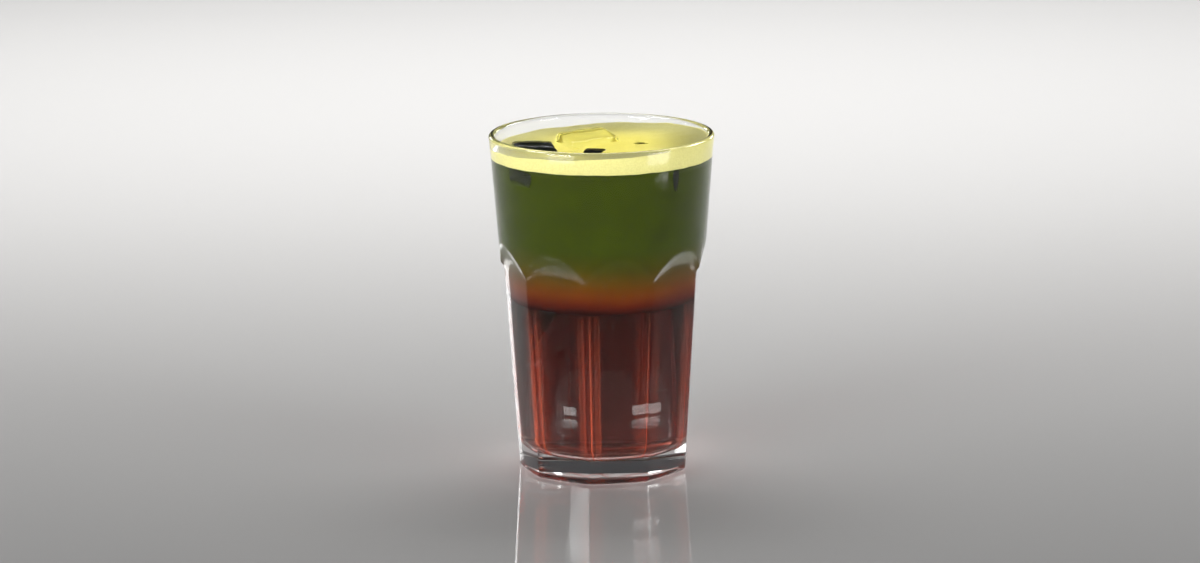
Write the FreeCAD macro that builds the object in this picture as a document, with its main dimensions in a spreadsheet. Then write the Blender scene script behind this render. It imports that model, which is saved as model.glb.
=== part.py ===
import FreeCAD, Part
import Sketcher
import math
import os

# A matcha tonic in its glass. The glass is a pressed tumbler: a plain cone above, a shoulder, and
# nine slightly crowned panels below that end under the shoulder in shallow arches. It holds, from the
# bottom up, clear red tonic, green matcha and pale foam, with ice cubes that break the foam.
# Millimetres, +Z up. The origin is the centre of the base, on the surface the glass stands on.

SIZES = [
    # the glass, outside
    ("glass_height", 128.5, "from the table to the top of the rim"),
    ("rim_radius", 42.4, "outer radius at the rim"),
    ("cone_foot_radius", 32.5, "outer radius of the cone carried down to the table"),
    ("rim_round", 1.1, "rounding of both edges of the rim"),
    ("panel_count", 9, "panels round the lower part"),
    ("panel_foot_apothem", 31.0, "axis to the middle of a panel, at the table"),
    ("panel_top_apothem", 35.75, "axis to the middle of a panel, where its arch starts"),
    ("panel_top_height", 76.7, "height where a panel starts to curve out into its arch"),
    ("panel_crown_radius", 100.0, "radius of the slight bulge across a panel"),
    ("arch_radius", 23.0, "radius of the hollow that ends a panel under the shoulder"),
    ("foot_round", 1.2, "rounding of the bottom edge of a panel"),
    ("recess_radius", 25.0, "radius of the hollow under the base"),
    ("recess_depth", 1.2, "depth of the hollow under the base"),
    # the glass, inside
    ("wall", 2.4, "thickness of the plain wall above the shoulder"),
    ("panel_wall", 2.4, "thickness of the wall at the middle of a panel"),
    ("base_thickness", 8.5, "table to the inner floor"),
    ("floor_round", 7.0, "rounding between the floor and the wall inside"),
    ("inner_shoulder_lag", 2.4, "how much higher the inside widens than the outside"),
    ("inner_shoulder_round", 14.0, "rounding of both bends of the inner shoulder"),
    # the drink
    ("tonic_level", 66.0, "top of the red tonic"),
    ("matcha_level", 120.0, "top of the matcha, under the foam"),
    ("foam_depth", 3.5, "depth of the foam in the middle of the glass"),
    ("foam_edge_rise", 1.9, "how far the foam climbs the wall"),
    ("foam_tilt", 2.0, "how far the foam stands higher at one side than in the middle"),
    ("foam_tilt_angle", -17.0, "direction of the high side, from +X towards +Y, in degrees"),
    ("foam_wave", 0.25, "height of the low waves on the foam"),
    ("foam_wave_length", 26.0, "length of the low waves on the foam"),
    # the ice
    ("ice_round", 2.2, "melted edges of the ice"),
    ("ice_taper", 1.5, "how much narrower a cube is at its small end, each side"),
]

# name, length, width, height, middle's distance in from the wall and its direction from +X in degrees,
# top above the foam's level in the middle of the glass, lean about X and Y, turn about Z
ICE = [
    ("ice_back", 20.0, 17.0, 22.0, 27.9, 114.4, 2.4, 4.0, -3.0, 22.0),
    ("ice_left", 16.0, 24.0, 21.0, 15.0, 182.3, 0.0, 2.0, 1.5, 8.0),
    ("ice_front", 9.0, 17.0, 18.0, 24.6, 256.9, 0.2, 3.0, -2.0, -12.0),
]

# Surface points along one side of the square patch that shapes the foam.
FOAM_GRID = 25
# A cutter stands this far past the surface that it cuts.
OVERCUT = 6.0
# How exactly an edge is matched when it is looked up by its radius and height.
EDGE_MATCH = 0.01

doc = FreeCAD.newDocument("matcha_tonic")
sheet = doc.addObject("Spreadsheet::Sheet", "Sizes")


def fill_sheet():
    """Write every driving size to the sheet, one row each."""
    for row, (alias, value, meaning) in enumerate(SIZES, start=1):
        sheet.set(f"A{row}", meaning)
        sheet.set(f"B{row}", str(value))
        sheet.setAlias(f"B{row}", alias)
    doc.recompute()


def size(alias):
    """The value of a driving size, read back from the sheet."""
    return float(sheet.get(alias))


def origin_feature(body, role):
    """A plane or axis of the body's own origin, found by its role."""
    return next(item for item in body.Origin.OriginFeatures if item.Role == role)


def new_body(name):
    body = doc.addObject("PartDesign::Body", name)
    body.Label = name
    return body


def new_sketch(body, name):
    """A sketch in the body's XZ plane: across is X and up is Z."""
    sketch = body.newObject("Sketcher::SketchObject", name)
    sketch.AttachmentSupport = [(origin_feature(body, "XZ_Plane"), "")]
    sketch.MapMode = "FlatFace"
    return sketch


def set_distance(sketch, kind, geometry, vertex, name, expression):
    """Set a point's distance from the origin, across or up, to a formula of the sheet."""
    start = getattr(sketch.getPoint(geometry, vertex), "x" if kind == "DistanceX" else "y")
    index = sketch.addConstraint(Sketcher.Constraint(kind, -1, 1, geometry, vertex, start))
    sketch.renameConstraint(index, name)
    sketch.setExpression(f"Constraints.{name}", expression)


def closed_outline(sketch, corners):
    """A closed outline of straight lines.

    A corner is its name, and its place across and up as formulas of the sheet; "0" is on the axis.
    The lines start on a rough circle in the right order, and the constraints put them in place.
    Returns where each corner comes to lie.
    """
    count = len(corners)
    turns = [2 * math.pi * i / count for i in range(count)]
    rough = [FreeCAD.Vector(40 - 30 * math.cos(turn), 40 - 30 * math.sin(turn), 0) for turn in turns]
    for i in range(count):
        sketch.addGeometry(Part.LineSegment(rough[i], rough[(i + 1) % count]))
    for i in range(count):
        sketch.addConstraint(Sketcher.Constraint("Coincident", i, 2, (i + 1) % count, 1))
    for i, (name, across, up) in enumerate(corners):
        if across == "0":
            sketch.addConstraint(Sketcher.Constraint("PointOnObject", i, 1, -2))
        else:
            set_distance(sketch, "DistanceX", i, 1, f"{name}_across", across)
        if up == "0":
            sketch.addConstraint(Sketcher.Constraint("PointOnObject", i, 1, -1))
        else:
            set_distance(sketch, "DistanceY", i, 1, f"{name}_up", up)
    doc.recompute()
    return {corner[0]: sketch.getPoint(i, 1) for i, corner in enumerate(corners)}


def turn_round_axis(body, kind, name, sketch):
    """Turn a sketch all the way round the Z axis, to add (Revolution) or to cut (Groove)."""
    feature = body.newObject(f"PartDesign::{kind}", name)
    feature.Profile = sketch
    feature.ReferenceAxis = (sketch, ["V_Axis"])
    feature.Angle = 360.0
    doc.recompute()
    return feature


def ring_edge(shape, corner):
    """The name of the circular edge that a corner of an outline has made."""
    for number, edge in enumerate(shape.Edges, start=1):
        if not isinstance(edge.Curve, Part.Circle):
            continue
        ring = FreeCAD.Vector(edge.Curve.Radius, edge.Curve.Center.z, 0)
        if ring.distanceToPoint(corner) < EDGE_MATCH:
            return f"Edge{number}"
    raise ValueError(f"no ring at {corner}")


def round_ring(body, name, corner, expression):
    """Round one ring edge of the body's newest feature."""
    last = body.Tip
    fillet = body.newObject("PartDesign::Fillet", name)
    fillet.Base = (last, [ring_edge(last.Shape, corner)])
    fillet.setExpression("Radius", expression)
    doc.recompute()


# Slopes of the glass's outside: of the cone, and of the middle of a panel.
CONE_SLOPE = "(Sizes.rim_radius - Sizes.cone_foot_radius) / Sizes.glass_height"
PANEL_SLOPE = "(Sizes.panel_top_apothem - Sizes.panel_foot_apothem) / Sizes.panel_top_height"
# Where the middle of a panel's arch meets the cone: the upper crossing of the cone's line with the
# arch's circle, whose centre lies this far outside the cone's foot and this high.
ARCH_OUT = (
    f"(Sizes.panel_top_apothem + Sizes.arch_radius / sqrt(1 + ({PANEL_SLOPE})^2)"
    " - Sizes.cone_foot_radius)"
)
ARCH_UP = (
    f"(Sizes.panel_top_height - Sizes.arch_radius * {PANEL_SLOPE} / sqrt(1 + ({PANEL_SLOPE})^2))"
)
ARCH_ALONG = f"({ARCH_UP} + {CONE_SLOPE} * {ARCH_OUT})"
ARCH_AWAY = f"({ARCH_OUT}^2 + {ARCH_UP}^2 - Sizes.arch_radius^2)"
ARCH_TOP = (
    f"(({ARCH_ALONG} + sqrt({ARCH_ALONG}^2 - (1 + ({CONE_SLOPE})^2) * {ARCH_AWAY}))"
    f" / (1 + ({CONE_SLOPE})^2))"
)

# The inside of the glass. The glass is cut with it and the drink is made from it, so they fit.
FLOOR_RADIUS = f"Sizes.panel_foot_apothem + {PANEL_SLOPE} * Sizes.base_thickness - Sizes.panel_wall"
SHOULDER_LOW = "(Sizes.panel_top_height + Sizes.inner_shoulder_lag)"
SHOULDER_LOW_RADIUS = f"Sizes.panel_foot_apothem + {PANEL_SLOPE} * {SHOULDER_LOW} - Sizes.panel_wall"
SHOULDER_HIGH = f"({ARCH_TOP} + Sizes.inner_shoulder_lag)"
SHOULDER_HIGH_RADIUS = f"Sizes.cone_foot_radius + {CONE_SLOPE} * {SHOULDER_HIGH} - Sizes.wall"


def hollow(body, kind):
    """The inside of the glass, cut from a body or made as a solid."""
    sketch = new_sketch(body, "inside_outline")
    corners = closed_outline(sketch, [
        ("floor_middle", "0", "Sizes.base_thickness"),
        ("floor_edge", FLOOR_RADIUS, "Sizes.base_thickness"),
        ("shoulder_low", SHOULDER_LOW_RADIUS, SHOULDER_LOW),
        ("shoulder_high", SHOULDER_HIGH_RADIUS, SHOULDER_HIGH),
        ("mouth_edge", "Sizes.rim_radius - Sizes.wall", "Sizes.glass_height"),
        ("mouth_middle", "0", "Sizes.glass_height"),
    ])
    turn_round_axis(body, kind, "inside", sketch)
    round_ring(body, "floor_rounding", corners["floor_edge"], "Sizes.floor_round")
    for name in ("shoulder_low", "shoulder_high"):
        round_ring(body, f"{name}_rounding", corners[name], "Sizes.inner_shoulder_round")
    return corners


def panel_cut(body):
    """One panel: a hollow-ended cut, turned about an axis far behind so that the panel is crowned."""
    foot = size("panel_foot_apothem")
    top = size("panel_top_apothem")
    start = size("panel_top_height")
    arch = size("arch_radius")
    rounding = size("foot_round")
    taper = math.atan2(top - foot, start)
    outside = top + arch + OVERCUT
    below = -OVERCUT

    sketch = new_sketch(body, "panel_outline")
    vector = FreeCAD.Vector
    foot_centre = vector(foot - rounding, rounding, 0)
    arch_centre = vector(top + arch * math.cos(taper), start - arch * math.sin(taper), 0)
    arch_top = vector(arch_centre.x, arch_centre.y + arch, 0)
    foot_arc = sketch.addGeometry(Part.ArcOfCircle(
        Part.Circle(foot_centre, vector(0, 0, 1), rounding), -math.pi / 2, -taper))
    flat = sketch.addGeometry(Part.LineSegment(
        vector(foot, rounding, 0), vector(top, start, 0)))
    arch_arc = sketch.addGeometry(Part.ArcOfCircle(
        Part.Circle(arch_centre, vector(0, 0, 1), arch), math.pi / 2, math.pi - taper))
    lid = sketch.addGeometry(Part.LineSegment(arch_top, vector(outside, arch_top.y, 0)))
    outer = sketch.addGeometry(Part.LineSegment(
        vector(outside, arch_top.y, 0), vector(outside, below, 0)))
    under = sketch.addGeometry(Part.LineSegment(
        vector(outside, below, 0), vector(foot_centre.x, below, 0)))
    step = sketch.addGeometry(Part.LineSegment(
        vector(foot_centre.x, below, 0), vector(foot_centre.x, 0, 0)))
    axis = sketch.addGeometry(Part.LineSegment(
        vector(foot - size("panel_crown_radius"), 0, 0),
        vector(foot - size("panel_crown_radius"), start, 0)), True)

    constrain = Sketcher.Constraint
    sketch.addConstraint([
        constrain("Tangent", foot_arc, 2, flat, 1),
        constrain("Tangent", flat, 2, arch_arc, 2),
        constrain("Coincident", arch_arc, 1, lid, 1),
        constrain("Coincident", lid, 2, outer, 1),
        constrain("Coincident", outer, 2, under, 1),
        constrain("Coincident", under, 2, step, 1),
        constrain("Coincident", step, 2, foot_arc, 1),
        constrain("Horizontal", lid),
        constrain("Vertical", outer),
        constrain("Horizontal", under),
        constrain("Vertical", step),
        constrain("Vertical", axis),
        constrain("Vertical", foot_arc, 3, foot_arc, 1),
        constrain("Vertical", arch_arc, 3, arch_arc, 1),
        constrain("PointOnObject", foot_arc, 1, -1),
        constrain("PointOnObject", axis, 1, -1),
        constrain("DistanceX", under, 2, under, 1, outside - foot_centre.x),
        constrain("DistanceY", step, 1, step, 2, -below),
        constrain("DistanceY", axis, 1, axis, 2, start),
    ])
    for name, kind, item, expression, value in (
        ("foot_rounding", "Radius", foot_arc, "Sizes.foot_round", rounding),
        ("arch_rounding", "Radius", arch_arc, "Sizes.arch_radius", arch),
    ):
        index = sketch.addConstraint(constrain(kind, item, value))
        sketch.renameConstraint(index, name)
        sketch.setExpression(f"Constraints.{name}", expression)
    set_distance(sketch, "DistanceX", flat, 2, "panel_top_across", "Sizes.panel_top_apothem")
    set_distance(sketch, "DistanceY", flat, 2, "panel_top_up", "Sizes.panel_top_height")
    index = sketch.addConstraint(constrain("Angle", flat, math.pi / 2 - taper))
    sketch.renameConstraint(index, "panel_slope")
    sketch.setExpression(
        "Constraints.panel_slope",
        "atan2(Sizes.panel_top_height; Sizes.panel_top_apothem - Sizes.panel_foot_apothem)")
    index = sketch.addConstraint(constrain("DistanceX", axis, 1, -1, 1, size("panel_crown_radius") - foot))
    sketch.renameConstraint(index, "crown_axis")
    sketch.setExpression("Constraints.crown_axis", "Sizes.panel_crown_radius - Sizes.panel_foot_apothem")

    cut = body.newObject("PartDesign::Groove", "panel")
    cut.Profile = sketch
    cut.ReferenceAxis = (sketch, ["Axis0"])
    # Seen from the far axis, the cut reaches past both neighbouring panels' edges.
    reach = "Sizes.rim_radius * sin(270 deg / Sizes.panel_count)"
    cut.setExpression("Angle", f"2 * asin({reach} / Sizes.panel_crown_radius)")
    cut.Midplane = True
    doc.recompute()
    return cut


def make_glass():
    """The tumbler: outer cone, panels all round, the hollow inside and a rounded rim."""
    body = new_body("glass")
    sketch = new_sketch(body, "outside_outline")
    outside = closed_outline(sketch, [
        ("recess_middle", "0", "Sizes.recess_depth"),
        ("recess_edge", "Sizes.recess_radius - Sizes.recess_depth", "Sizes.recess_depth"),
        ("stand_inner", "Sizes.recess_radius", "0"),
        ("stand_outer", "Sizes.cone_foot_radius", "0"),
        ("rim_outer", "Sizes.rim_radius", "Sizes.glass_height"),
        ("rim_middle", "0", "Sizes.glass_height"),
    ])
    turn_round_axis(body, "Revolution", "cone", sketch)

    plain = body.Tip.Shape.Volume
    cut = panel_cut(body)
    if cut.Shape.Volume >= plain:
        raise ValueError("the panel cuts nothing")
    pattern = body.newObject("PartDesign::PolarPattern", "panels")
    pattern.Originals = [cut]
    pattern.Axis = (origin_feature(body, "Z_Axis"), [""])
    pattern.Angle = 360.0
    pattern.setExpression("Occurrences", "Sizes.panel_count")
    body.Tip = pattern
    doc.recompute()

    inside = hollow(body, "Groove")
    round_ring(body, "rim_outside", outside["rim_outer"], "Sizes.rim_round")
    round_ring(body, "rim_inside", inside["mouth_edge"], "Sizes.rim_round")
    return body


def make_ice(name, length, width, tall, inward, direction, above, lean_x, lean_y, turn):
    """A melted ice cube: a block a little narrower at the bottom, with all its edges rounded."""
    block = doc.addObject("Part::Wedge", f"{name}_block")
    # The wedge's own Y runs from its wide end to its narrow end, and is stood upright below.
    block.Xmin, block.Xmax = -length / 2, length / 2
    block.Zmin, block.Zmax = -width / 2, width / 2
    block.Ymin, block.Ymax = 0, tall
    block.setExpression("X2min", f"{-length / 2} + Sizes.ice_taper")
    block.setExpression("X2max", f"{length / 2} - Sizes.ice_taper")
    block.setExpression("Z2min", f"{-width / 2} + Sizes.ice_taper")
    block.setExpression("Z2max", f"{width / 2} - Sizes.ice_taper")
    doc.recompute()
    cube = doc.addObject("Part::Fillet", name)
    cube.Label = name
    cube.Base = block
    radius = size("ice_round")
    cube.Edges = [(number, radius, radius) for number in range(1, len(block.Shape.Edges) + 1)]
    upright = FreeCAD.Rotation(FreeCAD.Vector(1, 0, 0), -90)
    cube.Placement.Rotation = FreeCAD.Rotation(turn, lean_y, lean_x).multiply(upright)
    out = f"(Sizes.rim_radius - Sizes.wall - {inward})"
    cube.setExpression("Placement.Base.x", f"{out} * cos({direction} deg)")
    cube.setExpression("Placement.Base.y", f"{out} * sin({direction} deg)")
    cube.setExpression("Placement.Base.z", f"Sizes.matcha_level + Sizes.foam_depth + {above}")
    doc.recompute()
    return cube


def foam_height(x, y):
    """Height of the foam's top: a tilted dish that climbs the wall, with low waves."""
    reach = size("rim_radius") - size("wall")
    out = min(math.hypot(x, y) / reach, 1.15)
    toward = math.radians(size("foam_tilt_angle"))
    tilt = size("foam_tilt") * (x * math.cos(toward) + y * math.sin(toward)) / reach
    wave = 2 * math.pi / size("foam_wave_length")
    ripple = size("foam_wave") * math.sin(wave * x + 0.9) * math.cos(wave * 0.8 * y - 0.4)
    middle = size("matcha_level") + size("foam_depth")
    return middle + tilt + size("foam_edge_rise") * out ** 5 + ripple


def foam_top_cutter():
    """Everything above the foam's uneven top, as a solid."""
    half = size("rim_radius") + OVERCUT
    spacing = 2 * half / (FOAM_GRID - 1)
    places = [-half + i * spacing for i in range(FOAM_GRID)]
    points = [[FreeCAD.Vector(x, y, foam_height(x, y)) for y in places] for x in places]
    surface = Part.BSplineSurface()
    surface.interpolate(points)
    cutter = doc.addObject("Part::Feature", "above_foam")
    cutter.Shape = surface.toShape().extrude(FreeCAD.Vector(0, 0, size("glass_height")))
    return cutter


def layer(name, cavity, low, high, cutters):
    """One layer of the drink: a slice of the inside of the glass, less what stands in it."""
    slab = doc.addObject("Part::Cylinder", f"{name}_slab")
    slab.setExpression("Radius", "Sizes.rim_radius")
    slab.setExpression("Height", f"{high} - {low}")
    slab.setExpression("Placement.Base.z", low)
    piece = doc.addObject("Part::Common", f"{name}_slice" if cutters else name)
    piece.Base = cavity
    piece.Tool = slab
    for number, cutter in enumerate(cutters, start=1):
        cut = doc.addObject("Part::Cut", name if number == len(cutters) else f"{name}_cut_{number}")
        cut.Base = piece
        cut.Tool = cutter
        piece = cut
    piece.Label = name
    doc.recompute()
    return piece


def make_drink(ice):
    """The three layers, from the bottom up."""
    cavity = new_body("cavity")
    hollow(cavity, "Revolution")
    tonic = layer("tonic", cavity, "Sizes.base_thickness", "Sizes.tonic_level", [])
    matcha = layer("matcha", cavity, "Sizes.tonic_level", "Sizes.matcha_level", ice)
    foam = layer("foam", cavity, "Sizes.matcha_level", "Sizes.glass_height", [foam_top_cutter()] + ice)
    return [tonic, matcha, foam]


def check(pieces):
    """Stop if any object failed or any piece isn't a good single solid."""
    for item in doc.Objects:
        if "Invalid" in item.State or "Error" in item.State:
            raise ValueError(f"{item.Name} failed: {item.State}")
    for piece in pieces:
        shape = piece.Shape
        if shape.isNull() or not shape.isValid() or len(shape.Solids) != 1:
            raise ValueError(f"{piece.Label} isn't one valid solid")


def write(pieces):
    os.makedirs("parts", exist_ok=True)
    for piece in pieces:
        piece.Shape.exportStep(f"parts/{piece.Label}.step")
        box = piece.Shape.optimalBoundingBox()
        print(f"{piece.Label}: {piece.Shape.Volume / 1000:.2f} cm3, z {box.ZMin:.2f} to {box.ZMax:.2f}")


fill_sheet()
glass = make_glass()
ice_cubes = [make_ice(*row) for row in ICE]
parts = [glass] + make_drink(ice_cubes) + ice_cubes
doc.recompute()
check(parts)
write(parts)
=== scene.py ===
import math

import bpy
from mathutils import Euler, Matrix, Vector, noise


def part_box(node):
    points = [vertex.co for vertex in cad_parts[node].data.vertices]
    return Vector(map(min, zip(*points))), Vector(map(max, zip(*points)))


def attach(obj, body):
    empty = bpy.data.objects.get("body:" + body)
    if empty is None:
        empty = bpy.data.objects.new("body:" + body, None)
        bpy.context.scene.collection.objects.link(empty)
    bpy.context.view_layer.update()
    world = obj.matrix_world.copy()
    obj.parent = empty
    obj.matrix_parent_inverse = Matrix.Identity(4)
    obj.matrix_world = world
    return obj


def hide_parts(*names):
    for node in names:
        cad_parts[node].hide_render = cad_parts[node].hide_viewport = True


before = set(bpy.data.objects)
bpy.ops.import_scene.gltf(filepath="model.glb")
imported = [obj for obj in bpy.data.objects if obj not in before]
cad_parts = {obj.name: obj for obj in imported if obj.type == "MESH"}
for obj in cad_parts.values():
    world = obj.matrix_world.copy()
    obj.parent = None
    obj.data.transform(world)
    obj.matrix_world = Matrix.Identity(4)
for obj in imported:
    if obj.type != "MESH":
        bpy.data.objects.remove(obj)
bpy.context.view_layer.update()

# A matcha tonic in its glass: a pressed tumbler with nine panels, red tonic below, green matcha
# above, pale foam and ice on top. Metres, +Z up, the front of the glass faces -Y.

MM = 0.001

# The glass, outside. These are the sizes that the CAD solids were made with.
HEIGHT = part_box("glass")[1][2]
RIM_RADIUS = 42.4 * MM
CONE_FOOT_RADIUS = 32.5 * MM
RIM_ROUND = 1.15 * MM
PANELS = 9
FOOT_APOTHEM = 31.0 * MM
TOP_APOTHEM = 35.75 * MM
PANEL_TOP = 76.7 * MM
CROWN_RADIUS = 100.0 * MM
ARCH_RADIUS = 23.0 * MM
ARCH_HALF_WIDTH = 14.0 * MM
FOOT_ROUND = 1.2 * MM
FOOT_FLAT = 2.0 * MM
RECESS_RADIUS = 25.0 * MM
RECESS_DEPTH = 1.2 * MM
# How softly two faces of the glass meet: at the ridges between panels, and along the arches.
RIDGE_SOFTNESS = 0.3 * MM
ARCH_SOFTNESS = 0.55 * MM
# The arches' heights, and how high the turned cone is pressed.
ARCH_START = PANEL_TOP - MM
ARCH_END = PANEL_TOP + 13.0 * MM
PRESSED_TOP = PANEL_TOP + 20.0 * MM

# The glass, inside.
WALL = 2.4 * MM
PANEL_WALL = 2.4 * MM
FLOOR = 8.5 * MM
FLOOR_ROUND = 7.0 * MM
INNER_SHOULDER = 79.1 * MM
INNER_SHOULDER_LENGTH = 10.84 * MM
INNER_SHOULDER_ROUND = 14.0 * MM

# The drink. Its levels are the CAD's, and each layer overlaps the next.
TONIC_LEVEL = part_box("tonic")[1][2]
MATCHA_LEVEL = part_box("matcha")[1][2]
TONIC_OVERLAP = 2.0 * MM
FOAM_OVERLAP = 0.1 * MM
# The foam's top: its middle, its climb up the wall, its tilt, its waves and its lumps.
FOAM_MIDDLE = MATCHA_LEVEL + 3.5 * MM
FOAM_EDGE_RISE = 1.9 * MM
FOAM_TILT = 2.0 * MM
FOAM_TILT_ANGLE = math.radians(-17)
FOAM_WAVE = 0.25 * MM
FOAM_WAVE_LENGTH = 26.0 * MM
FOAM_LUMP = 0.18 * MM
FOAM_LUMP_LENGTH = 4.5 * MM
# The waves of the matcha's underside, the height in which its colour changes from the tonic's
# to its own, and how far that colour wanders up and down.
SINK_WAVE = 0.6 * MM
SINK_WAVE_LENGTH = 9.0 * MM
BLEND_DEPTH = 24.0 * MM
BLEND_DRIFT = 5.0 * MM
# What fills the glass reaches a little way into its wall, each layer by its own depth.
INTO_WALL = {"tonic": 0.12 * MM, "matcha": 0.16 * MM, "foam": 0.2 * MM, "ice": 0.1 * MM}
# How strongly the streaks of painted light on the tonic show, from a panel's middle to its
# ridge, and from the glass's floor up to the tonic's top, and how fine they are. They are painted
# highlights: light that the ridges gather, put into the tonic's colour.
PAINTED_LIGHT_BY_RIDGE = [(0.0, 0.06), (0.55, 0.10), (0.85, 0.45), (1.0, 0.70)]
PAINTED_LIGHT_BY_HEIGHT = [(0.0, 1.0), (0.35, 0.85), (0.8, 0.55), (1.0, 0.12)]
PAINTED_LIGHT_FINENESS = 95.0

# How finely things are meshed: steps round the axis, and rows up the glass's profile.
SEGMENTS = 288
FOAM_SEGMENTS = 240
DRINK_SEGMENTS = 192
GAP_SEGMENTS = 32
FOOT_ROWS, PANEL_ROWS, ARCH_ROWS, CONE_ROWS, RIM_ROWS, MOUTH_ROWS = 6, 16, 40, 8, 7, 6
# Points this near a surface lie on it, or at a level. Faces this far inside the cone are inside.
ON_SURFACE = 0.05 * MM
AT_LEVEL = 0.01 * MM
INSIDE_DEPTH = 1.6 * MM
STEP = 2 * math.pi / PANELS


# ---------------------------------------------------------------- shapes of the glass

def cone_radius(height):
    """Outer radius of the plain cone."""
    return CONE_FOOT_RADIUS + (RIM_RADIUS - CONE_FOOT_RADIUS) * height / HEIGHT


def panel_apothem(height):
    """Axis to the middle of a panel, on its straight part."""
    return FOOT_APOTHEM + (TOP_APOTHEM - FOOT_APOTHEM) * height / PANEL_TOP


def arch_offset(across, height):
    """How far a panel has curved outwards at a height, to end in a round arch."""
    rise = height - PANEL_TOP
    if rise <= 0:
        return 0.0
    narrowing = math.sqrt(max(1 - (across / ARCH_HALF_WIDTH) ** 2, 0.01))
    reach = min(rise / narrowing, ARCH_RADIUS)
    return ARCH_RADIUS - math.sqrt(ARCH_RADIUS ** 2 - reach ** 2)


def panel_radius(turn, height):
    """Axis to the face of a panel, at an angle from the panel's middle."""
    behind = CROWN_RADIUS - FOOT_APOTHEM
    across = cone_radius(height) * math.sin(turn)
    crown = behind + panel_apothem(height) + arch_offset(across, height)
    return math.sqrt(crown ** 2 - (behind * math.sin(turn)) ** 2) - behind * math.cos(turn)


def soft_min(a, b, softness):
    """The smaller of two radii, rounded where they cross."""
    near = max(softness - abs(a - b), 0.0)
    return min(a, b) - near * near / (4 * softness)


def outer_radius(angle, height):
    """Outer radius of the glass at an angle and height: panels, ridges, arches and plain cone."""
    turn = abs((angle + STEP / 2) % STEP - STEP / 2)
    radius = soft_min(panel_radius(turn, height), panel_radius(STEP - turn, height), RIDGE_SOFTNESS)
    radius = soft_min(radius, cone_radius(height), ARCH_SOFTNESS)
    if height < FOOT_ROUND:
        radius -= FOOT_ROUND - math.sqrt(FOOT_ROUND ** 2 - (FOOT_ROUND - height) ** 2)
    return radius


def gathered(angle):
    """Moves an angle towards the nearest ridge, so that the mesh is finest there."""
    turn = (angle + STEP / 2) % STEP - STEP / 2
    share = turn / (STEP / 2)
    eased = share * (0.2 + 0.8 * (1.5 - 0.5 * share * share))
    return angle - turn + eased * STEP / 2


def rounded(corners, steps=8):
    """A profile of straight runs with rounded corners. A corner is (radius, height, rounding)."""
    points = [Vector(corners[0][:2])]
    for before, here, after in zip(corners, corners[1:], corners[2:]):
        corner, rounding = Vector(here[:2]), here[2]
        back = (Vector(before[:2]) - corner).normalized()
        ahead = (Vector(after[:2]) - corner).normalized()
        half = back.angle(ahead) / 2
        start = corner + back * (rounding / math.tan(half))
        centre = corner + (back + ahead).normalized() * (rounding / math.sin(half))
        end = corner + ahead * (rounding / math.tan(half))
        sweep = (start - centre).angle_signed(end - centre)
        for i in range(steps + 1):
            points.append(centre + Matrix.Rotation(-sweep * i / steps, 2) @ (start - centre))
    points.append(Vector(corners[-1][:2]))
    return points


def inside_profile(grow=0.0):
    """The inside of the glass from the middle of its floor to its mouth, grown into the wall."""
    low, high = INNER_SHOULDER, INNER_SHOULDER + INNER_SHOULDER_LENGTH
    return rounded([
        (0.0, FLOOR - grow, 0.0),
        (panel_apothem(FLOOR) - PANEL_WALL + grow, FLOOR - grow, FLOOR_ROUND),
        (panel_apothem(low) - PANEL_WALL + grow, low, INNER_SHOULDER_ROUND),
        (cone_radius(high) - WALL + grow, high, INNER_SHOULDER_ROUND),
        (RIM_RADIUS - WALL + grow, HEIGHT, 0.0),
    ])


def inner_radius(height, grow=0.0):
    """Inner radius of the glass at a height above the rounded floor corner."""
    profile = inside_profile(grow)
    for below, above in zip(profile, profile[1:]):
        if below.y <= height <= above.y and above.y > below.y:
            return below.x + (above.x - below.x) * (height - below.y) / (above.y - below.y)
    return profile[-1].x


def steps_between(start, end, count):
    """Evenly spaced values from start up to, but not at, end."""
    return [start + (end - start) * i / count for i in range(count)]


# ---------------------------------------------------------------- modelling helpers

def start_piece(name):
    """Names the newest object and opens it for editing with all of it selected."""
    piece = bpy.context.object
    piece.name = name
    piece.data.name = name
    bpy.ops.object.mode_set(mode="EDIT")
    bpy.ops.mesh.select_all(action="SELECT")
    return piece


def end_piece(piece):
    """Closes editing and leaves the piece at the origin, unturned, with its place in its mesh."""
    bpy.ops.object.mode_set(mode="OBJECT")
    bpy.ops.object.transform_apply(location=True, rotation=True, scale=True)
    bpy.ops.object.shade_smooth()
    return piece


def turned(name, profile, segments=SEGMENTS):
    """Turns a profile of (radius, height) points round the Z axis into a closed piece."""
    bpy.ops.object.select_all(action="DESELECT")
    first = profile[0]
    bpy.ops.mesh.primitive_plane_add(size=MM, location=(first[0], 0, first[1]))
    piece = start_piece(name)
    bpy.ops.mesh.merge(type="CENTER")
    for here, there in zip(profile, profile[1:]):
        move = (there[0] - here[0], 0, there[1] - here[1])
        bpy.ops.mesh.extrude_region_move(TRANSFORM_OT_translate={"value": move})
    bpy.ops.mesh.select_all(action="SELECT")
    bpy.ops.mesh.spin(steps=segments, angle=2 * math.pi, center=(0, 0, 0), axis=(0, 0, 1))
    bpy.ops.mesh.select_all(action="SELECT")
    bpy.ops.mesh.remove_doubles(threshold=1e-6)
    bpy.ops.mesh.normals_make_consistent(inside=False)
    return end_piece(piece)


def apply_modifier(piece, kind, **settings):
    """Adds one modifier with these settings and applies it."""
    bpy.ops.object.select_all(action="DESELECT")
    bpy.context.view_layer.objects.active = piece
    piece.select_set(True)
    modifier = piece.modifiers.new(kind.lower(), kind)
    for setting, value in settings.items():
        setattr(modifier, setting, value)
    bpy.ops.object.modifier_apply(modifier=modifier.name)


def cut_away(piece, cutter, operation="DIFFERENCE"):
    """Cuts one piece with another, or keeps only what both hold."""
    apply_modifier(piece, "BOOLEAN", object=cutter, operation=operation, solver="EXACT")


def finish_piece(piece, material, slot, *nodes):
    """Gives a piece its material and ties it to the frame."""
    piece.data.materials.clear()
    piece.data.materials.append(material)
    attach(piece, "root")
    if nodes:
        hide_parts(*nodes)


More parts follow.
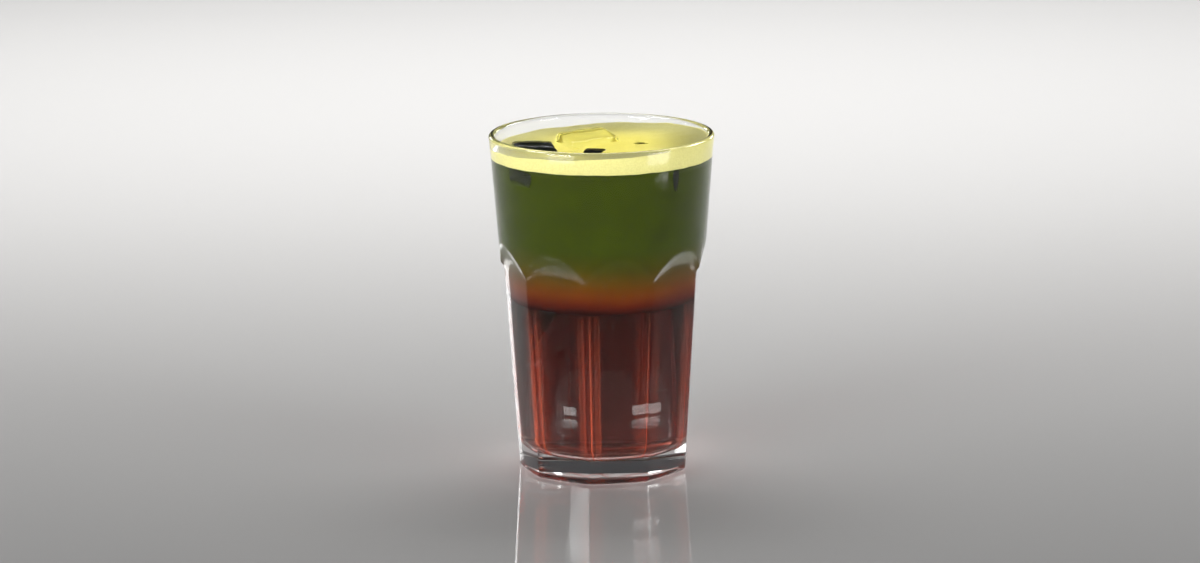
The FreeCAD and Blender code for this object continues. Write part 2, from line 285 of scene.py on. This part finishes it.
# ---------------------------------------------------------------- materials

def new_material(name):
    """A material, with its tree, its Principled shader and its output."""
    material = bpy.data.materials.new(name)
    material.use_nodes = True
    tree = material.node_tree
    return material, tree, tree.nodes["Principled BSDF"], tree.nodes["Material Output"]


def add_node(tree, kind, **settings):
    """A new node with these settings."""
    node = tree.nodes.new(kind)
    for setting, value in settings.items():
        setattr(node, setting, value)
    return node


def object_noise(tree, scale, detail=3.0, stretch=(1, 1, 1)):
    """A noise on the piece's own coordinates."""
    place = add_node(tree, "ShaderNodeTexCoord")
    mapping = add_node(tree, "ShaderNodeMapping")
    mapping.inputs["Scale"].default_value = stretch
    pattern = add_node(tree, "ShaderNodeTexNoise")
    pattern.inputs["Scale"].default_value = scale
    pattern.inputs["Detail"].default_value = detail
    pattern.inputs["Roughness"].default_value = 0.55
    tree.links.new(place.outputs["Object"], mapping.inputs["Vector"])
    tree.links.new(mapping.outputs["Vector"], pattern.inputs["Vector"])
    return pattern


def add_ramp(tree, source, stops):
    """A colour ramp fed by source. A stop is (position, colour)."""
    ramp = add_node(tree, "ShaderNodeValToRGB")
    while len(ramp.color_ramp.elements) < len(stops):
        ramp.color_ramp.elements.new(1.0)
    for element, (position, colour) in zip(ramp.color_ramp.elements, stops):
        element.position = position
        element.color = (*colour, 1.0)
    tree.links.new(source, ramp.inputs["Fac"])
    return ramp


def greys(stops):
    """Ramp stops in grey, each made from (position, brightness)."""
    return [(position, (brightness,) * 3) for position, brightness in stops]


def add_bump(tree, bsdf, source, strength, distance):
    """Gives a shader fine relief, fed by source."""
    bump = add_node(tree, "ShaderNodeBump")
    bump.inputs["Strength"].default_value = strength
    bump.inputs["Distance"].default_value = distance
    tree.links.new(source, bump.inputs["Height"])
    tree.links.new(bump.outputs["Normal"], bsdf.inputs["Normal"])


def mix_colour(tree, factor, first, second, blend="MIX"):
    """Mixes two colours, each a socket or a colour, by a socket or a number."""
    mix = add_node(tree, "ShaderNodeMix", data_type="RGBA", blend_type=blend)
    for name, value in (("Factor", factor), ("A", first), ("B", second)):
        socket = [s for s in mix.inputs if s.name == name and s.enabled][0]
        if isinstance(value, bpy.types.NodeSocket):
            tree.links.new(value, socket)
        elif name == "Factor":
            socket.default_value = value
        else:
            socket.default_value = (*value, 1.0)
    return [s for s in mix.outputs if s.enabled][0]


def let_lamps_through(tree, surface, output, tint=(1.0, 1.0, 1.0)):
    """Lets lamplight pass a clear piece, so that what is inside it is lit."""
    path = add_node(tree, "ShaderNodeLightPath")
    clear = add_node(tree, "ShaderNodeBsdfTransparent")
    clear.inputs["Color"].default_value = (*tint, 1.0)
    mix = add_node(tree, "ShaderNodeMixShader")
    tree.links.new(path.outputs["Is Shadow Ray"], mix.inputs["Fac"])
    tree.links.new(surface.outputs[0], mix.inputs[1])
    tree.links.new(clear.outputs["BSDF"], mix.inputs[2])
    tree.links.new(mix.outputs["Shader"], output.inputs["Surface"])


def clear_glass(name, shine=0.5):
    """Clear pressed glass, with the faint upright ripples and waves that pressing leaves.

    Where the drink wets it, shine is low, because glass hardly mirrors against liquid.
    """
    material, tree, bsdf, output = new_material(name)
    bsdf.inputs["Base Color"].default_value = (0.985, 0.995, 0.99, 1)
    bsdf.inputs["Transmission Weight"].default_value = 1.0
    bsdf.inputs["Roughness"].default_value = 0.0
    bsdf.inputs["IOR"].default_value = 1.51
    bsdf.inputs["Specular IOR Level"].default_value = shine
    waves = object_noise(tree, 60.0, detail=1.0, stretch=(1, 1, 0.35))
    ripples = object_noise(tree, 420.0, detail=2.0, stretch=(1, 1, 0.03))
    both = add_node(tree, "ShaderNodeMath", operation="MULTIPLY_ADD")
    both.inputs[1].default_value = 0.12
    tree.links.new(ripples.outputs["Fac"], both.inputs[0])
    tree.links.new(waves.outputs["Fac"], both.inputs[2])
    add_bump(tree, bsdf, both.outputs["Value"], 0.05, 1.0 * MM)
    let_lamps_through(tree, bsdf, output, tint=(0.96, 0.96, 0.96))
    return material


def red_tonic():
    """Clear red liquid, deep crimson where thick, with painted salmon highlights at the ridges."""
    material, tree, bsdf, output = new_material("clear_red_tonic")
    bsdf.inputs["Base Color"].default_value = (1, 1, 1, 1)
    bsdf.inputs["Transmission Weight"].default_value = 1.0
    bsdf.inputs["Roughness"].default_value = 0.0
    bsdf.inputs["IOR"].default_value = 1.333
    bsdf.inputs["Specular IOR Level"].default_value = 0.0
    # Painted highlights: streaks of light painted in, thick where a ridge gathers it, thin between.
    split = split_place(tree)
    turn = add_node(tree, "ShaderNodeMath", operation="ARCTAN2")
    tree.links.new(split.outputs["Y"], turn.inputs[0])
    tree.links.new(split.outputs["X"], turn.inputs[1])
    around = add_node(tree, "ShaderNodeMath", operation="MULTIPLY")
    around.inputs[1].default_value = PANELS
    tree.links.new(turn.outputs["Value"], around.inputs[0])
    facing = add_node(tree, "ShaderNodeMath", operation="COSINE")
    tree.links.new(around.outputs["Value"], facing.inputs[0])
    to_ridge = map_range(tree, facing.outputs["Value"], 1.0, -1.0)
    ridge = add_ramp(tree, to_ridge, greys(PAINTED_LIGHT_BY_RIDGE))
    flat = add_node(tree, "ShaderNodeVectorMath", operation="MULTIPLY")
    flat.inputs[1].default_value = (1, 1, 0)
    compass = add_node(tree, "ShaderNodeVectorMath", operation="NORMALIZE")
    fine = add_node(tree, "ShaderNodeTexNoise")
    fine.inputs["Scale"].default_value = PAINTED_LIGHT_FINENESS
    fine.inputs["Detail"].default_value = 3.0
    place = add_node(tree, "ShaderNodeTexCoord")
    tree.links.new(place.outputs["Object"], flat.inputs[0])
    tree.links.new(flat.outputs["Vector"], compass.inputs[0])
    tree.links.new(compass.outputs["Vector"], fine.inputs["Vector"])
    fine_lines = add_ramp(tree, fine.outputs["Fac"], greys([(0.42, 0.0), (0.62, 1.0)]))
    low = map_range(tree, split.outputs["Z"], FLOOR, TONIC_LEVEL)
    fade = add_ramp(tree, low, greys(PAINTED_LIGHT_BY_HEIGHT))
    lines = mix_colour(tree, 1.0, ridge.outputs["Color"], fine_lines.outputs["Color"], "MULTIPLY")
    share = mix_colour(tree, 1.0, lines, fade.outputs["Color"], "MULTIPLY")
    # The painted light itself: a rough salmon-red surface mixed over the clear liquid.
    painted_light = add_node(tree, "ShaderNodeBsdfPrincipled")
    painted_light.inputs["Roughness"].default_value = 0.6
    painted_light.inputs["Specular IOR Level"].default_value = 0.0
    crimson_to_salmon = [(0.45, (0.42, 0.02, 0.008)), (0.75, (0.80, 0.20, 0.09))]
    tints = add_ramp(tree, fine.outputs["Fac"], crimson_to_salmon)
    tree.links.new(tints.outputs["Color"], painted_light.inputs["Base Color"])
    both = add_node(tree, "ShaderNodeMixShader")
    tree.links.new(share, both.inputs["Fac"])
    tree.links.new(bsdf.outputs["BSDF"], both.inputs[1])
    tree.links.new(painted_light.outputs["BSDF"], both.inputs[2])
    let_lamps_through(tree, both, output)
    absorb = add_node(tree, "ShaderNodeVolumeAbsorption")
    absorb.inputs["Color"].default_value = (0.66, 0.16, 0.03, 1)
    absorb.inputs["Density"].default_value = 150.0
    tree.links.new(absorb.outputs["Volume"], output.inputs["Volume"])
    return material


def split_place(tree):
    """A point on the piece, split into its X, its Y and its height, in metres."""
    place = add_node(tree, "ShaderNodeTexCoord")
    split = add_node(tree, "ShaderNodeSeparateXYZ")
    tree.links.new(place.outputs["Object"], split.inputs["Vector"])
    return split


def map_range(tree, source, start, end):
    """Source as a share of the way from start to end."""
    scaled = add_node(tree, "ShaderNodeMapRange")
    scaled.inputs["From Min"].default_value = start
    scaled.inputs["From Max"].default_value = end
    tree.links.new(source, scaled.inputs["Value"])
    return scaled.outputs["Result"]


def green_matcha():
    """Cloudy dark green that turns brown and then red as it sinks into the tonic."""
    material, tree, bsdf, _ = new_material("cloudy_green_matcha")
    bsdf.inputs["Roughness"].default_value = 0.6
    bsdf.inputs["Specular IOR Level"].default_value = 0.0
    split = split_place(tree)
    clouds = object_noise(tree, 32.0, detail=4.0, stretch=(1, 1, 0.5))
    drift = add_node(tree, "ShaderNodeMath", operation="MULTIPLY_ADD")
    drift.inputs[1].default_value = BLEND_DRIFT
    drift.inputs[2].default_value = -BLEND_DRIFT / 2
    tree.links.new(clouds.outputs["Fac"], drift.inputs[0])
    height = add_node(tree, "ShaderNodeMath", operation="ADD")
    tree.links.new(split.outputs["Z"], height.inputs[0])
    tree.links.new(drift.outputs["Value"], height.inputs[1])
    level = map_range(tree, height.outputs["Value"], TONIC_LEVEL, TONIC_LEVEL + BLEND_DEPTH)
    blend = add_ramp(tree, level, [
        (0.0, (0.014, 0.0004, 0.0)),
        (0.12, (0.072, 0.005, 0.0)),
        (0.27, (0.125, 0.026, 0.0)),
        (0.45, (0.092, 0.038, 0.0)),
        (0.72, (0.047, 0.044, 0.0)),
        (1.0, (0.032, 0.047, 0.0)),
    ])
    mottle = object_noise(tree, 90.0, detail=5.0)
    shade = add_ramp(tree, mottle.outputs["Fac"], greys([(0.3, 0.86), (0.7, 1.1)]))
    colour = mix_colour(tree, 1.0, blend.outputs["Color"], shade.outputs["Color"], "MULTIPLY")
    tree.links.new(colour, bsdf.inputs["Base Color"])
    return material


def pale_foam():
    """Fine pale foam, yellower away from the wall, with a grain of tiny bubbles."""
    material, tree, bsdf, _ = new_material("fine_pale_foam")
    bsdf.inputs["Roughness"].default_value = 0.7
    bsdf.inputs["Specular IOR Level"].default_value = 0.1
    place = add_node(tree, "ShaderNodeTexCoord")
    flat = add_node(tree, "ShaderNodeMapping")
    flat.inputs["Scale"].default_value = (1, 1, 0)
    reach = add_node(tree, "ShaderNodeVectorMath", operation="LENGTH")
    tree.links.new(place.outputs["Object"], flat.inputs["Vector"])
    tree.links.new(flat.outputs["Vector"], reach.inputs[0])
    patches = object_noise(tree, 60.0, detail=4.0)
    wander = add_node(tree, "ShaderNodeMath", operation="MULTIPLY_ADD")
    wander.inputs[1].default_value = 9.0 * MM
    tree.links.new(patches.outputs["Fac"], wander.inputs[0])
    tree.links.new(reach.outputs["Value"], wander.inputs[2])
    out = map_range(tree, wander.outputs["Value"], 4.5 * MM, 44.5 * MM)
    base = add_ramp(tree, out, [
        (0.0, (0.50, 0.44, 0.075)),
        (0.45, (0.54, 0.48, 0.100)),
        (0.75, (0.60, 0.55, 0.165)),
        (0.93, (0.68, 0.64, 0.260)),
        (1.0, (0.68, 0.64, 0.250)),
    ])
    cells = add_node(tree, "ShaderNodeTexVoronoi")
    cells.inputs["Scale"].default_value = 1500.0
    tree.links.new(place.outputs["Object"], cells.inputs["Vector"])
    between_bubbles = [(0.0, (1.04, 1.04, 1.04)), (0.8, (0.93, 0.92, 0.88))]
    grain = add_ramp(tree, cells.outputs["Distance"], between_bubbles)
    colour = mix_colour(tree, 1.0, base.outputs["Color"], grain.outputs["Color"], "MULTIPLY")
    tree.links.new(colour, bsdf.inputs["Base Color"])
    add_bump(tree, bsdf, cells.outputs["Distance"], 0.25, 0.25 * MM)
    return material


def clear_ice(name, shine=0.5):
    """Clear wet ice with a melted surface. Shine is low where the drink covers it."""
    material, tree, bsdf, output = new_material(name)
    bsdf.inputs["Specular IOR Level"].default_value = shine
    bsdf.inputs["Base Color"].default_value = (0.80, 0.82, 0.79, 1)
    bsdf.inputs["Transmission Weight"].default_value = 1.0
    bsdf.inputs["Roughness"].default_value = 0.03
    bsdf.inputs["IOR"].default_value = 1.31
    ripples = object_noise(tree, 260.0, detail=2.0)
    add_bump(tree, bsdf, ripples.outputs["Fac"], 0.25, 0.6 * MM)
    let_lamps_through(tree, bsdf, output)
    return material


# ---------------------------------------------------------------- pieces

def glass_profile():
    """The glass from the middle of its underside, up outside, over the rim and down inside."""
    profile = [(0.0, RECESS_DEPTH), (RECESS_RADIUS - RECESS_DEPTH * 2, RECESS_DEPTH)]
    profile += [(RECESS_RADIUS - RECESS_DEPTH * 0.6, RECESS_DEPTH * 0.7), (RECESS_RADIUS, 0.0)]
    profile.append((RECESS_RADIUS + FOOT_FLAT, 0.0))
    foot = [FOOT_ROUND * (1 - math.cos(math.pi / 2 * i / FOOT_ROWS)) for i in range(FOOT_ROWS)]
    heights = foot + steps_between(FOOT_ROUND, ARCH_START, PANEL_ROWS)
    heights += steps_between(ARCH_START, ARCH_END, ARCH_ROWS)
    heights += steps_between(ARCH_END, HEIGHT - RIM_ROUND, CONE_ROWS)
    profile += [(cone_radius(height), height) for height in heights]
    outer = RIM_RADIUS - RIM_ROUND
    inner = RIM_RADIUS - WALL + RIM_ROUND
    low = HEIGHT - RIM_ROUND
    turn = [math.pi / 2 * i / RIM_ROWS for i in range(RIM_ROWS + 1)]
    profile += [(outer + RIM_ROUND * math.cos(a), low + RIM_ROUND * math.sin(a)) for a in turn]
    profile += [(inner - RIM_ROUND * math.sin(a), low + RIM_ROUND * math.cos(a)) for a in turn]
    inside = [p for p in reversed(inside_profile()) if p.y < low]
    top = inner_radius(low)
    wide, tall = inside[0].x - top, inside[0].y - low
    profile += [(top + wide * i / MOUTH_ROWS, low + tall * i / MOUTH_ROWS)
                for i in range(1, MOUTH_ROWS)]
    profile += [(p.x, p.y) for p in inside]
    return profile


def make_glass():
    """The tumbler: turned as a plain cone, then pressed in to its panels and arches."""
    glass = turned("tumbler", glass_profile())
    for vertex in glass.data.vertices:
        x, y, height = vertex.co
        radius = math.hypot(x, y)
        angle = gathered(math.atan2(y, x))
        pressed = height < PRESSED_TOP and abs(radius - cone_radius(height)) < ON_SURFACE
        if pressed:
            radius = outer_radius(angle, height)
        vertex.co = (radius * math.cos(angle), radius * math.sin(angle), height)
    glass.data.update()
    finish_piece(glass, clear_glass("clear_pressed_glass"), "clear_glass", "glass")
    glass.data.materials.append(clear_glass("clear_wetted_glass", shine=0.05))
    for face in glass.data.polygons:
        x, y, height = face.center
        inside = math.hypot(x, y) < cone_radius(height) - INSIDE_DEPTH and height > FLOOR - AT_LEVEL
        if inside and face.normal.xy.dot((x, y)) <= 0 and height < MATCHA_LEVEL:
            face.material_index = 1


def layer_profile(low, high, grow, steps):
    """A slice of the drink: flat below and above, and the inside of the glass between."""
    profile = [(0.0, low)]
    wall = [(p.x, p.y) for p in inside_profile(grow) if low < p.y < high and p.x > 0]
    if low > FLOOR + FLOOR_ROUND:
        reach = inner_radius(low, grow)
        profile += [(reach * i / steps, low) for i in range(1, steps)]
        profile.append((reach, low))
        profile += [(inner_radius(h, grow), h) for h in steps_between(low, high, 24)[1:]]
    else:
        profile = [(0.0, FLOOR - grow)] + [p for p in wall if p[1] < high]
    reach = inner_radius(high, grow)
    profile += [(reach * i / steps, high) for i in range(steps, -1, -1)]
    return profile


def make_tonic():
    """The red layer, from the glass's floor up into the matcha."""
    profile = layer_profile(0.0, TONIC_LEVEL + TONIC_OVERLAP, INTO_WALL["tonic"], 4)
    tonic = turned("red_tonic", profile, DRINK_SEGMENTS)
    finish_piece(tonic, red_tonic(), "red_tonic", "tonic")


def make_matcha(ice):
    """The green layer. Its underside is uneven where it has begun to sink into the tonic."""
    grow = INTO_WALL["matcha"]
    profile = layer_profile(TONIC_LEVEL, MATCHA_LEVEL, grow, 8)
    matcha = turned("green_matcha", profile, DRINK_SEGMENTS)
    for vertex in matcha.data.vertices:
        x, y, height = vertex.co
        if height < TONIC_LEVEL + AT_LEVEL:
            vertex.co.z += SINK_WAVE * noise.noise(Vector((x, y, 0.0)) / SINK_WAVE_LENGTH)
    for cutter in ice:
        cut_away(matcha, cutter)
    finish_piece(matcha, green_matcha(), "green_matcha", "matcha")


def foam_height(x, y):
    """Height of the foam's top: a tilted dish that climbs the wall, with low waves and lumps."""
    reach = RIM_RADIUS - WALL
    out = min(math.hypot(x, y) / reach, 1.15)
    tilt = FOAM_TILT * (x * math.cos(FOAM_TILT_ANGLE) + y * math.sin(FOAM_TILT_ANGLE)) / reach
    wave = 2 * math.pi / FOAM_WAVE_LENGTH
    ripple = FOAM_WAVE * math.sin(wave * x + 0.9) * math.cos(wave * 0.8 * y - 0.4)
    lumps = FOAM_LUMP * noise.noise(Vector((x, y, 3 * MM)) / FOAM_LUMP_LENGTH)
    return FOAM_MIDDLE + tilt + FOAM_EDGE_RISE * out ** 5 + ripple + lumps


def make_foam(ice):
    """The foam: a flat layer whose top is then shaped, with places cut for ice and gaps."""
    grow = INTO_WALL["foam"]
    low, flat_top = MATCHA_LEVEL - FOAM_OVERLAP, FOAM_MIDDLE + MM
    foam = turned("pale_foam", layer_profile(low, flat_top, grow, 60), FOAM_SEGMENTS)
    for vertex in foam.data.vertices:
        x, y, height = vertex.co
        radius = math.hypot(x, y)
        share = (height - low) / (flat_top - low)
        on_wall = radius > inner_radius(height, grow) - ON_SURFACE
        height = low + share * (foam_height(x, y) - low)
        if on_wall:
            height += (1 - share) * 0.22 * MM * noise.noise(Vector((x, y, 0.0)) / (5 * MM))
            factor = inner_radius(height, grow) / radius
            x, y = x * factor, y * factor
        vertex.co = (x, y, height)
    for cutter in ice:
        cut_away(foam, cutter)
    finish_piece(foam, pale_foam(), "pale_foam", "foam")


# A cube is its name, its CAD node or None, its size, its centre, its lean about X and Y and turn
# about Z in degrees, and how deep the foam is open round it.
ICE = [
    ("ice_cube_back", "ice_back", (20, 17, 22), (-5.0, 11.0, 115.1), (4, -3, 22), 5.0),
    ("ice_cube_left", "ice_left", (16, 24, 21), (-25.0, -1.0, 113.1), (2, 1.5, 8), 21.0),
    ("ice_cube_front", "ice_front", (9, 17, 18), (-3.5, -15.0, 114.8), (3, -2, -12), 18.0),
    ("ice_at_wall_left", None, (14, 12, 6), (-24.5, -21.5, 117.6), (8, -6, 38), 0.0),
    ("ice_at_wall_right", None, (10, 9, 11), (22.6, -24.7, 115.8), (8.5, 8.5, -2.5), 0.0),
]


# How far the ice is rounded, how wide and how many millimetres deep its dents are, and how much
# smaller all round the place cut for a cube is than the cube.
ICE_ROUND = 1.6 * MM
ICE_DENTS = [(7.0 * MM, 0.45), (2.6 * MM, 0.1)]
ICE_PLAY = 0.08 * MM
# Small gaps in the foam: X, Y and radius in millimetres.
GAPS = [(14.3, 2.0, 2.1), (-9.5, -2.5, 1.5), (16.5, 0.6, 1.2)]


def foam_gap(x, y, radius):
    """A small round gap through the foam, wider at its top."""
    low, high = MATCHA_LEVEL - MM, FOAM_MIDDLE + 6 * MM
    wide = radius * MM
    profile = [(0, low), (0.8 * wide, low), (wide, FOAM_MIDDLE), (1.3 * wide, high), (0, high)]
    gap = turned("gap_in_foam", profile, GAP_SEGMENTS)
    for vertex in gap.data.vertices:
        vertex.co += Vector((x, y, 0)) * MM
    return gap


def ice_block(name, size, centre, lean, shrink=0.0, depth=None):
    """A melted ice cube, or its top down to a depth: rounded edges and a softly dented surface."""
    bpy.ops.object.select_all(action="DESELECT")
    turn = Euler([math.radians(value) for value in lean])
    tall = size[2] if depth is None else depth
    place = Vector(centre) + turn.to_matrix() @ Vector((0, 0, (size[2] - tall) / 2))
    sides = [side * MM - 2 * shrink for side in (size[0], size[1], tall)]
    bpy.ops.mesh.primitive_cube_add(size=1, location=place * MM, rotation=turn, scale=sides)
    block = start_piece(name)
    bpy.ops.mesh.subdivide(number_cuts=3)
    end_piece(block)
    width = min(ICE_ROUND, 0.2 * min(sides))
    apply_modifier(block, "BEVEL", width=width, segments=3, limit_method="ANGLE")
    apply_modifier(block, "SUBSURF", levels=2, render_levels=2)
    for vertex in block.data.vertices:
        dent = sum(noise.noise(vertex.co / wide) * deep * MM for wide, deep in ICE_DENTS)
        vertex.co += vertex.normal * dent
    bpy.ops.object.shade_smooth()
    return block


def make_ice():
    """All the cubes, and what cuts their places in the matcha and in the foam."""
    inside = layer_profile(MATCHA_LEVEL - 40 * MM, HEIGHT - 0.5 * MM, INTO_WALL["ice"], 4)
    envelope = turned("envelope", inside, DRINK_SEGMENTS)
    material = clear_ice("clear_wet_ice")
    sunk = clear_ice("clear_sunk_ice", shine=0.08)
    in_matcha, in_foam = [], []
    for name, node, size, centre, lean, opening in ICE:
        cube = ice_block(name, size, centre, lean)
        in_matcha.append(ice_block(f"{name}_place", size, centre, lean, ICE_PLAY))
        if node:
            in_foam.append(ice_block(f"{name}_opening", size, centre, lean, ICE_PLAY, opening))
            finish_piece(cube, material, "clear_ice", node)
        else:
            cut_away(cube, envelope, "INTERSECT")
            finish_piece(cube, sunk, "clear_ice")
    bpy.data.objects.remove(envelope)
    in_foam += [foam_gap(*gap) for gap in GAPS]
    return in_matcha, in_foam


# ---------------------------------------------------------------- stage, light and camera

def make_floor():
    """A plain pale polished floor that reaches past the view."""
    bpy.ops.object.select_all(action="DESELECT")
    bpy.ops.mesh.primitive_plane_add(size=12.0, location=(0, 0, 0))
    floor = bpy.context.object
    floor.name = "floor"
    material, _, bsdf, _ = new_material("pale_floor")
    bsdf.inputs["Base Color"].default_value = (0.70, 0.69, 0.68, 1)
    bsdf.inputs["Roughness"].default_value = 0.04
    bsdf.inputs["IOR"].default_value = 1.6
    floor.data.materials.append(material)


def area_lamp(name, place, aim, size, power, spread=180, lights_surfaces=True):
    """A rectangular lamp turned to face a place. It lights surfaces, or only shows in gloss."""
    data = bpy.data.lights.new(name, "AREA")
    data.shape = "RECTANGLE"
    data.size, data.size_y = size
    data.energy = power
    data.spread = math.radians(spread)
    lamp = bpy.data.objects.new(name, data)
    lamp.location = place
    lamp.rotation_euler = (Vector(aim) - Vector(place)).to_track_quat("-Z", "Y").to_euler()
    lamp.visible_camera = False
    lamp.visible_diffuse = lights_surfaces
    lamp.visible_transmission = lights_surfaces
    bpy.context.collection.objects.link(lamp)


def gloss_lamp(name, direction, distance, height, size, radiance):
    """A lamp that only shows in gloss. Its direction is in degrees from the front to the right."""
    turn = math.radians(direction)
    place = (distance * math.sin(turn), -distance * math.cos(turn), height)
    power = math.pi * size[0] * size[1] * radiance
    area_lamp(name, place, (0, 0, 0.05), size, power, lights_surfaces=False)


def make_light():
    """A dim world, lamps that light the glass and its floor, and lamps for gloss alone."""
    world = bpy.data.worlds.new("dim_room")
    world.use_nodes = True
    world.node_tree.nodes["Background"].inputs["Color"].default_value = (0.93, 0.95, 1.0, 1)
    world.node_tree.nodes["Background"].inputs["Strength"].default_value = 0.055
    bpy.context.scene.world = world
    middle = (0, 0, 0.07)
    # Over the floor behind the glass, which it keeps pale.
    area_lamp("overhead", (0.0, 0.90, 1.0), (0, 0.90, 0), (1.8, 1.1), 16.0, spread=100)
    # The key from the front left, and a weaker one from the right, low so that the floor in
    # front stays dim and its mirror image in the glass with it.
    area_lamp("key", (-0.85, -0.95, 0.15), middle, (0.60, 0.20), 13.0)
    area_lamp("fill", (0.95, -0.55, 0.14), middle, (0.50, 0.20), 6.0)
    # Over the floor far in front, so that it is pale from behind too.
    area_lamp("overhead_front", (0.0, -1.15, 1.0), (0, -1.15, 0), (2.4, 0.8), 8.0, spread=70)
    # On the foam's top.
    area_lamp("top", (0.0, 0.001, 0.45), (0, 0, 0.12), (0.05, 0.05), 0.011, spread=6)
    # Panels far behind the glass at both sides, that draw its edges.
    gloss_lamp("edge_left", -154, 1.20, 0.295, (0.25, 0.15), 8)
    gloss_lamp("edge_right", 152, 1.20, 0.295, (0.25, 0.15), 8)
    # Soft panels high at both sides, that draw the arches.
    gloss_lamp("arches_left", -75, 0.95, 0.75, (0.50, 0.35), 15)
    gloss_lamp("arches_right", 125, 1.13, 0.75, (0.50, 0.45), 12)


def make_camera():
    """At the height of someone sitting down, looking slightly down on the glass."""
    data = bpy.data.cameras.new("camera")
    data.lens = 126.7
    data.sensor_width = 36.0
    camera = bpy.data.objects.new("camera", data)
    camera.location = (0, -1.559, 0.418)
    down, aside, tilt = 12.54, 0.04, -0.57
    level = Euler((math.radians(90 - down), 0, math.radians(aside))).to_matrix()
    roll = Matrix.Rotation(math.radians(tilt), 3, "Z")
    camera.rotation_euler = (level @ roll).to_euler()
    bpy.context.collection.objects.link(camera)
    bpy.context.scene.camera = camera


make_camera()
make_light()
make_floor()
make_glass()
make_tonic()
ice_in_matcha, ice_in_foam = make_ice()
make_matcha(ice_in_matcha)
make_foam(ice_in_foam)
for cutter in ice_in_matcha + ice_in_foam:
    bpy.data.objects.remove(cutter)

bpy.context.scene.view_settings.view_transform = "Standard"
